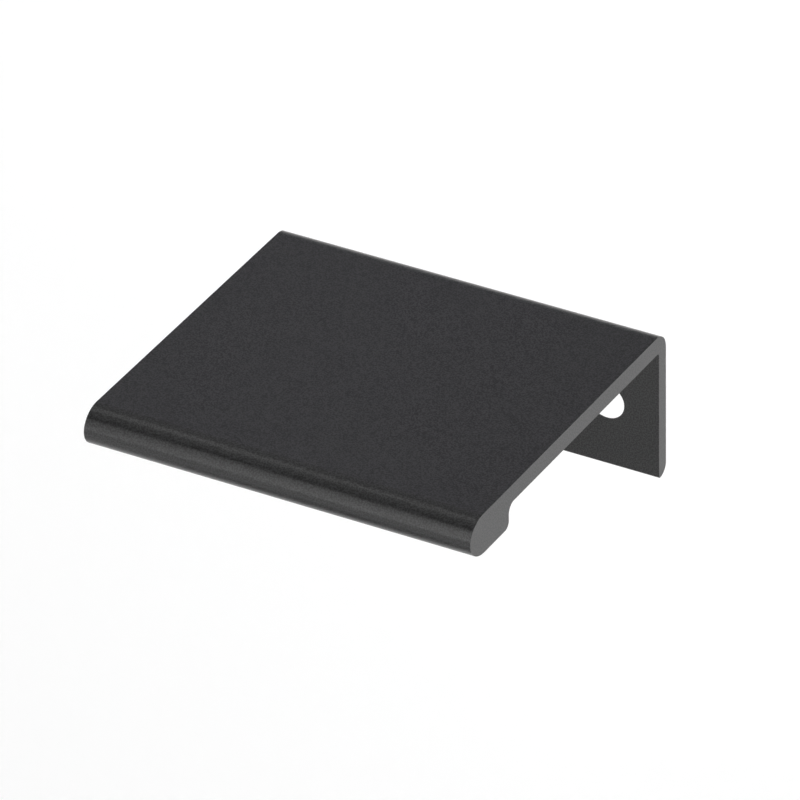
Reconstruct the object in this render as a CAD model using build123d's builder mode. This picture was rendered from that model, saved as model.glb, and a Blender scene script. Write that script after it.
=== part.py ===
from build123d import *
import os

# Furniture handle: an edge pull cut from one length of extruded aluminium section.
# A flat plate lies over the top edge of a drawer or door front. At the rear it turns down into
# a short leg, which is screwed to the back of the front. At the room side it ends in a thicker,
# rounded lip that the fingers pull.
#
# X runs along the cut length, Y from the nose of the lip to the leg, and Z is up. The origin is
# midway between the two screw holes, on the face of the leg that meets the front. Millimetres.

# Driving dimensions
LENGTH = 44.0                 # cut length of the section
DEPTH = 41.0                  # nose of the lip to the back of the leg
HEIGHT = 17.1                 # foot of the leg to the top of the plate
PLATE = 2.0                   # thickness of the plate
LEG = 1.5                     # thickness of the leg

LIP_HEIGHT = 4.55             # top of the plate to the underside of the lip
LIP_DEPTH = 7.85              # nose of the lip to its rear face
NOSE_ABOVE = 2.65             # depth of the nose's rounding above its foremost line
NOSE_BELOW = 2.9              # depth of the nose's rounding below its foremost line

REAR_RADIUS = 2.0             # outside of the bend between plate and leg
BEND_RADIUS = 0.3             # inside of that bend
LIP_FILLET = 1.1              # plate into the lip's rear face
LIP_CORNER = 0.8              # lower rear corner of the lip
FOOT_REAR = 1.25              # foot of the leg, outside
FOOT_FRONT = 0.2              # foot of the leg, inside

HOLE_PITCH = 32.0             # one step of the usual cabinet hole system
HOLE_DIAMETER = 4.0           # clears a 3.5 mm screw
COUNTERSINK_DIAMETER = 6.8    # at the back of the leg
COUNTERSINK_ANGLE = 90.0

# Places on the section, worked out from the origin at the holes
FOOT = -(HEIGHT - PLATE) / 2  # the holes are halfway up the leg's free height
TOP = FOOT + HEIGHT
UNDERSIDE = TOP - PLATE
LIP_BOTTOM = TOP - LIP_HEIGHT
LEG_FACE = 0.0
BACK = LEG_FACE + LEG
NOSE = BACK - DEPTH
LIP_REAR = NOSE + LIP_DEPTH


def corner(sketch, y, z):
    """The vertex of the section nearest to a place on it."""
    return sketch.vertices().sort_by_distance((y, z))[0]


with BuildPart() as handle:
    # The section, drawn once and extruded to length
    with BuildSketch(Plane.YZ) as section:
        with BuildLine():
            foremost = TOP - LIP_HEIGHT / 2
            above = EllipticalCenterArc(
                (NOSE + NOSE_ABOVE, foremost), NOSE_ABOVE, LIP_HEIGHT / 2, 90, arc_size=90
            )
            below = EllipticalCenterArc(
                (NOSE + NOSE_BELOW, foremost), NOSE_BELOW, LIP_HEIGHT / 2, 180, arc_size=90
            )
            Polyline(
                above @ 0,
                (BACK, TOP),
                (BACK, FOOT),
                (LEG_FACE, FOOT),
                (LEG_FACE, UNDERSIDE),
                (LIP_REAR, UNDERSIDE),
                (LIP_REAR, LIP_BOTTOM),
                below @ 1,
            )
        make_face()
        fillet(corner(section, BACK, TOP), REAR_RADIUS)
        fillet(corner(section, LEG_FACE, UNDERSIDE), BEND_RADIUS)
        fillet(corner(section, BACK, FOOT), FOOT_REAR)
        fillet(corner(section, LEG_FACE, FOOT), FOOT_FRONT)
        fillet(corner(section, LIP_REAR, UNDERSIDE), LIP_FILLET)
        fillet(corner(section, LIP_REAR, LIP_BOTTOM), LIP_CORNER)
    extrude(amount=LENGTH / 2, both=True)

    # Two screw holes through the leg, countersunk from behind
    with Locations(Plane(origin=(0, BACK, 0), x_dir=(1, 0, 0), z_dir=(0, 1, 0))):
        with GridLocations(HOLE_PITCH, 0, 2, 1):
            CounterSinkHole(
                radius=HOLE_DIAMETER / 2,
                counter_sink_radius=COUNTERSINK_DIAMETER / 2,
                counter_sink_angle=COUNTERSINK_ANGLE,
            )

handle.part.label = "handle"

os.makedirs("parts", exist_ok=True)
export_step(handle.part, "parts/handle.step")
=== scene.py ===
import math

import bpy
from mathutils import Matrix, Vector


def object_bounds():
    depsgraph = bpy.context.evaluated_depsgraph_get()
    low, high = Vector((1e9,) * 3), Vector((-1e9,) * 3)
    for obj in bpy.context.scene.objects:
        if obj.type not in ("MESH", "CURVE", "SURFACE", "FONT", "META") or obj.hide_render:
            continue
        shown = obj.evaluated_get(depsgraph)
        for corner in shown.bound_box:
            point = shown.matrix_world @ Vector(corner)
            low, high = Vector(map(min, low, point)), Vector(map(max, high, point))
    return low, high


# A matt black edge pull of anodised aluminium, alone on a white sweep. Metres, in the frame of
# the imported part: X along the handle, -Y towards the nose of its lip, Z up.

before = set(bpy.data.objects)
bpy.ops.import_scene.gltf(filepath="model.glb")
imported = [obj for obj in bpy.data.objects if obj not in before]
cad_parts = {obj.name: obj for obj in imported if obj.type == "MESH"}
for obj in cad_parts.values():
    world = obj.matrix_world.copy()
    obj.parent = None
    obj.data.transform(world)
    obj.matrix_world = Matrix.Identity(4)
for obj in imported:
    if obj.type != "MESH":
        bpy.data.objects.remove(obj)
cad_low, cad_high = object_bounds()
MM = 0.001

# Camera: the photograph's viewing angle, seen through a long lens
AZIMUTH = math.radians(29.82)
ELEVATION = math.radians(32.59)
ROLL = math.radians(-1.117)           # the right side of the camera dips by this much
DISTANCE = 898.55 * MM
AIM = Vector((0.869, -15.86, 4.636)) * MM
LENS = 401.275                        # focal length and sensor width are in millimetres
SENSOR = 36.0
CLIP_NEAR = 0.01
CLIP_FAR = 10.0

# Floor: a white disc that sweeps up into a low wall, well below the handle that hangs over it
FLOOR_DROP = 55 * MM                  # from the foot of the leg down to the floor
FLOOR_RADIUS = 0.9
SWEEP_RADIUS = 0.3
SWEEP_STEPS = 12
WALL_HEIGHT = 0.1
FLOOR_SIDES = 96
FLOOR_COLOUR = (0.9, 0.9, 0.9, 1)
FLOOR_GLOW = 0.14                     # lifts the lit floor to white and leaves its shadow

# Lights: a dim surround and softboxes. Each box has a name, an azimuth and an elevation in degrees
# (azimuth 0 is in front of the lip, 90 at its right), its distance, width and height in metres, its
# power in watts and its colour.
SURROUND = 0.03
WHITE = (1, 1, 1)
VIOLET = (0.87, 0.84, 1)
SOFTBOXES = (
    # Behind and above the left end: what the plate and the top of the lip mirror
    ("plate_box", -149, 32, 0.9, 0.2, 0.2, 0.051, VIOLET),
    ("arch_box_1", -141, 45, 0.9, 0.2, 0.2, 0.060, WHITE),
    ("arch_box_2", -126, 57, 0.9, 0.2, 0.2, 0.052, WHITE),
    ("arch_box_3", -109, 62, 0.9, 0.2, 0.2, 0.2, WHITE),
    ("arch_box_4", -80, 64, 0.9, 0.2, 0.2, 0.089, WHITE),
    ("arch_box_5", -54, 58, 0.9, 0.2, 0.2, 0.097, WHITE),
    # In front: what the nose of the lip mirrors
    ("front_box_high", -30, 40, 0.9, 0.2, 0.22, 0.195, WHITE),
    ("front_box_middle", -23, 30, 0.9, 0.2, 0.22, 0.32, WHITE),
    ("front_box_low", -19, 17, 0.9, 0.2, 0.22, 0.39, WHITE),
    ("front_strip", -10, -1, 0.9, 0.5, 0.1, 0.58, WHITE),
    # High behind the right end: the key, whose shadow falls in front of the handle and below it
    ("key_box", 152, 48, 1.6, 0.35, 0.35, 26, WHITE),
)

# Black anodised finish
DYE = (0.016, 0.016, 0.0165)          # plain colour between the dark and the light grains
REFRACTIVE_INDEX = 1.6                # of the anodic oxide
ROUGHNESS = 0.31
ROUGHNESS_RANGE = 0.01
NOISE_LOW, NOISE_HIGH = 0.25, 0.75    # nearly all of a noise lies between these
GRAIN_SCALE = 6000                    # cells per metre: a blasted grain of about 0.17 mm
GRAIN_DETAIL = 1
GRAIN_CONTRAST = 2.8                  # well over 1, so that most grains are plainly dark or light
GRAIN_DEPTH = 0.004 * MM
CLOUD_SCALE = 90                      # cloudiness about 11 mm across
CLOUD_DETAIL = 2
CLOUD_CONTRAST = 0.03
SAW_SCALE = 5000                      # scratches 0.2 mm apart on the cut ends
SAW_DETAIL = 1
SAW_STRETCH = 0.03                    # how much slower they change along their length
SAW_SLANT = math.radians(8)
SAW_DEPTH = 0.002 * MM
END_FACING = 0.9                      # above this share of the normal along X, a face is a cut end


def look_along(direction):
    """The rotation of a camera or lamp at the origin that faces a direction, upright."""
    return direction.to_track_quat("-Z", "Y").to_matrix().to_4x4()


def seen_from(azimuth, elevation):
    """The direction from the handle to a place at an azimuth and elevation in radians."""
    return Vector((
        math.sin(azimuth) * math.cos(elevation),
        -math.cos(azimuth) * math.cos(elevation),
        math.sin(elevation),
    ))


def add_camera():
    """Places the camera and makes it the scene's."""
    data = bpy.data.cameras.new("camera")
    data.lens = LENS
    data.sensor_width = SENSOR
    data.clip_start = CLIP_NEAR
    data.clip_end = CLIP_FAR
    camera = bpy.data.objects.new("camera", data)
    bpy.context.scene.collection.objects.link(camera)
    to_camera = seen_from(AZIMUTH, ELEVATION)
    place = Matrix.Translation(AIM + to_camera * DISTANCE)
    camera.matrix_world = place @ look_along(-to_camera) @ Matrix.Rotation(ROLL, 4, "Z")
    bpy.context.scene.camera = camera


def add_softbox(name, azimuth, elevation, distance, width, height, power, colour):
    """A rectangular area lamp that faces the handle."""
    to_lamp = seen_from(math.radians(azimuth), math.radians(elevation))
    data = bpy.data.lights.new(name, "AREA")
    data.shape = "RECTANGLE"
    data.size = width
    data.size_y = height
    data.energy = power
    data.color = colour
    lamp = bpy.data.objects.new(name, data)
    lamp.matrix_world = Matrix.Translation(AIM + to_lamp * distance) @ look_along(-to_lamp)
    lamp.visible_camera = False
    bpy.context.scene.collection.objects.link(lamp)


def set_surround(level):
    """A plain dim world."""
    world = bpy.data.worlds.new("surround")
    world.use_nodes = True
    background = world.node_tree.nodes["Background"]
    background.inputs["Color"].default_value = (*WHITE, 1)
    background.inputs["Strength"].default_value = level
    bpy.context.scene.world = world


def sweep_profile(level):
    """The radii and heights of the floor's quarter sweep, from the disc's rim, and of its wall."""
    profile = []
    for step in range(SWEEP_STEPS + 1):
        turn = math.radians(90) * step / SWEEP_STEPS
        profile.append((
            FLOOR_RADIUS + SWEEP_RADIUS * math.sin(turn),
            level + SWEEP_RADIUS * (1 - math.cos(turn)),
        ))
    profile.append((FLOOR_RADIUS + SWEEP_RADIUS, level + SWEEP_RADIUS + WALL_HEIGHT))
    return profile


def turned_sheet(name, profile):
    """A smooth mesh turned about Z from radii and heights, closed by a flat disc in the middle."""
    vertices = [(0.0, 0.0, profile[0][1])]
    for radius, height in profile:
        for side in range(FLOOR_SIDES):
            turn = 2 * math.pi * side / FLOOR_SIDES
            vertices.append((radius * math.cos(turn), radius * math.sin(turn), height))
    faces = []
    for side in range(FLOOR_SIDES):
        beside = (side + 1) % FLOOR_SIDES
        faces.append((0, 1 + side, 1 + beside))
        for ring in range(len(profile) - 1):
            inner, outer = 1 + ring * FLOOR_SIDES, 1 + (ring + 1) * FLOOR_SIDES
            faces.append((inner + side, outer + side, outer + beside, inner + beside))
    mesh = bpy.data.meshes.new(name)
    mesh.from_pydata(vertices, [], faces)
    for polygon in mesh.polygons:
        polygon.use_smooth = True
    return mesh


def add_floor():
    """The white sweep under the handle."""
    mesh = turned_sheet("floor", sweep_profile(cad_low.z - FLOOR_DROP))
    mesh.materials.append(white_paper())
    floor = bpy.data.objects.new("floor", mesh)
    bpy.context.scene.collection.objects.link(floor)


def new_material(name):
    """A new node material and its node tree."""
    material = bpy.data.materials.new(name)
    material.use_nodes = True
    return material, material.node_tree


def calculate(tree, operation, first, second=0):
    """A Math node on two values, each a number or another node's output."""
    node = tree.nodes.new("ShaderNodeMath")
    node.operation = operation
    for socket, value in zip(node.inputs, (first, second)):
        if isinstance(value, (int, float)):
            socket.default_value = value
        else:
            tree.links.new(value, socket)
    return node.outputs[0]


def noise(tree, scale, detail, coordinates):
    """A noise texture's value."""
    texture = tree.nodes.new("ShaderNodeTexNoise")
    texture.inputs["Scale"].default_value = scale
    texture.inputs["Detail"].default_value = detail
    tree.links.new(coordinates, texture.inputs["Vector"])
    return texture.outputs["Fac"]


def around(tree, value, middle, reach):
    """Turns a noise into a value that is mostly within reach of a middle."""
    scaled = tree.nodes.new("ShaderNodeMapRange")
    scaled.clamp = False
    scaled.inputs["From Min"].default_value = NOISE_LOW
    scaled.inputs["From Max"].default_value = NOISE_HIGH
    scaled.inputs["To Min"].default_value = middle - reach
    scaled.inputs["To Max"].default_value = middle + reach
    tree.links.new(value, scaled.inputs["Value"])
    return scaled.outputs["Result"]


def white_paper():
    """Diffuse white, with a glow that only the camera and glossy or clear surfaces see."""
    material, tree = new_material("white_paper")
    tree.nodes.clear()
    paper = tree.nodes.new("ShaderNodeBsdfDiffuse")
    paper.inputs["Color"].default_value = FLOOR_COLOUR
    rays = tree.nodes.new("ShaderNodeLightPath").outputs
    seen = calculate(tree, "MAXIMUM", rays["Is Camera Ray"], rays["Is Glossy Ray"])
    seen = calculate(tree, "MAXIMUM", seen, rays["Is Transmission Ray"])
    glow = tree.nodes.new("ShaderNodeEmission")
    tree.links.new(calculate(tree, "MULTIPLY", seen, FLOOR_GLOW), glow.inputs["Strength"])
    both = tree.nodes.new("ShaderNodeAddShader")
    tree.links.new(paper.outputs[0], both.inputs[0])
    tree.links.new(glow.outputs[0], both.inputs[1])
    output = tree.nodes.new("ShaderNodeOutputMaterial")
    tree.links.new(both.outputs[0], output.inputs["Surface"])
    return material


def dyed_grains(tree, grain, cloud):
    """The dye's colour: grains between none and twice of the plain one, a little cloudy."""
    shade = around(tree, grain, 0.5, GRAIN_CONTRAST / 2)
    shade = calculate(tree, "MULTIPLY", shade, around(tree, cloud, 1, CLOUD_CONTRAST))
    dye = tree.nodes.new("ShaderNodeMix")
    dye.data_type = "RGBA"
    dye.inputs["A"].default_value = (0, 0, 0, 1)
    dye.inputs["B"].default_value = (*(2 * level for level in DYE), 1)
    tree.links.new(shade, dye.inputs["Factor"])
    return dye.outputs["Result"]


def relief(tree, place, grain):
    """The bumped normal: grain everywhere, and fine slanted scratches on the sawn ends."""
    facing = tree.nodes.new("ShaderNodeSeparateXYZ")
    tree.links.new(place["Normal"], facing.inputs[0])
    sideways = calculate(tree, "ABSOLUTE", facing.outputs["X"])
    cut_end = calculate(tree, "GREATER_THAN", sideways, END_FACING)
    along_saw = tree.nodes.new("ShaderNodeMapping")
    along_saw.inputs["Rotation"].default_value = (SAW_SLANT, 0, 0)
    along_saw.inputs["Scale"].default_value = (0, 1, SAW_STRETCH)
    tree.links.new(place["Object"], along_saw.inputs["Vector"])
    saw = noise(tree, SAW_SCALE, SAW_DETAIL, along_saw.outputs["Vector"])
    saw = calculate(tree, "MULTIPLY", saw, cut_end)
    saw = calculate(tree, "MULTIPLY", saw, SAW_DEPTH / GRAIN_DEPTH)
    bump = tree.nodes.new("ShaderNodeBump")
    bump.inputs["Distance"].default_value = GRAIN_DEPTH
    tree.links.new(calculate(tree, "ADD", grain, saw), bump.inputs["Height"])
    return bump.outputs["Normal"]


def black_anodised():
    """Bead-blasted aluminium, dyed black: fine grain, faint clouds, and saw marks on the ends."""
    material, tree = new_material("black_anodised")
    place = tree.nodes.new("ShaderNodeTexCoord").outputs
    grain = noise(tree, GRAIN_SCALE, GRAIN_DETAIL, place["Object"])
    cloud = noise(tree, CLOUD_SCALE, CLOUD_DETAIL, place["Object"])
    shader = tree.nodes["Principled BSDF"].inputs
    shader["IOR"].default_value = REFRACTIVE_INDEX
    tree.links.new(dyed_grains(tree, grain, cloud), shader["Base Color"])
    tree.links.new(around(tree, cloud, ROUGHNESS, ROUGHNESS_RANGE), shader["Roughness"])
    tree.links.new(relief(tree, place, grain), shader["Normal"])
    return material


add_camera()
add_floor()
set_surround(SURROUND)
for softbox in SOFTBOXES:
    add_softbox(*softbox)

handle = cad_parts["handle"]
handle.data.materials.clear()
handle.data.materials.append(black_anodised())

bpy.context.scene.view_settings.view_transform = "Standard"
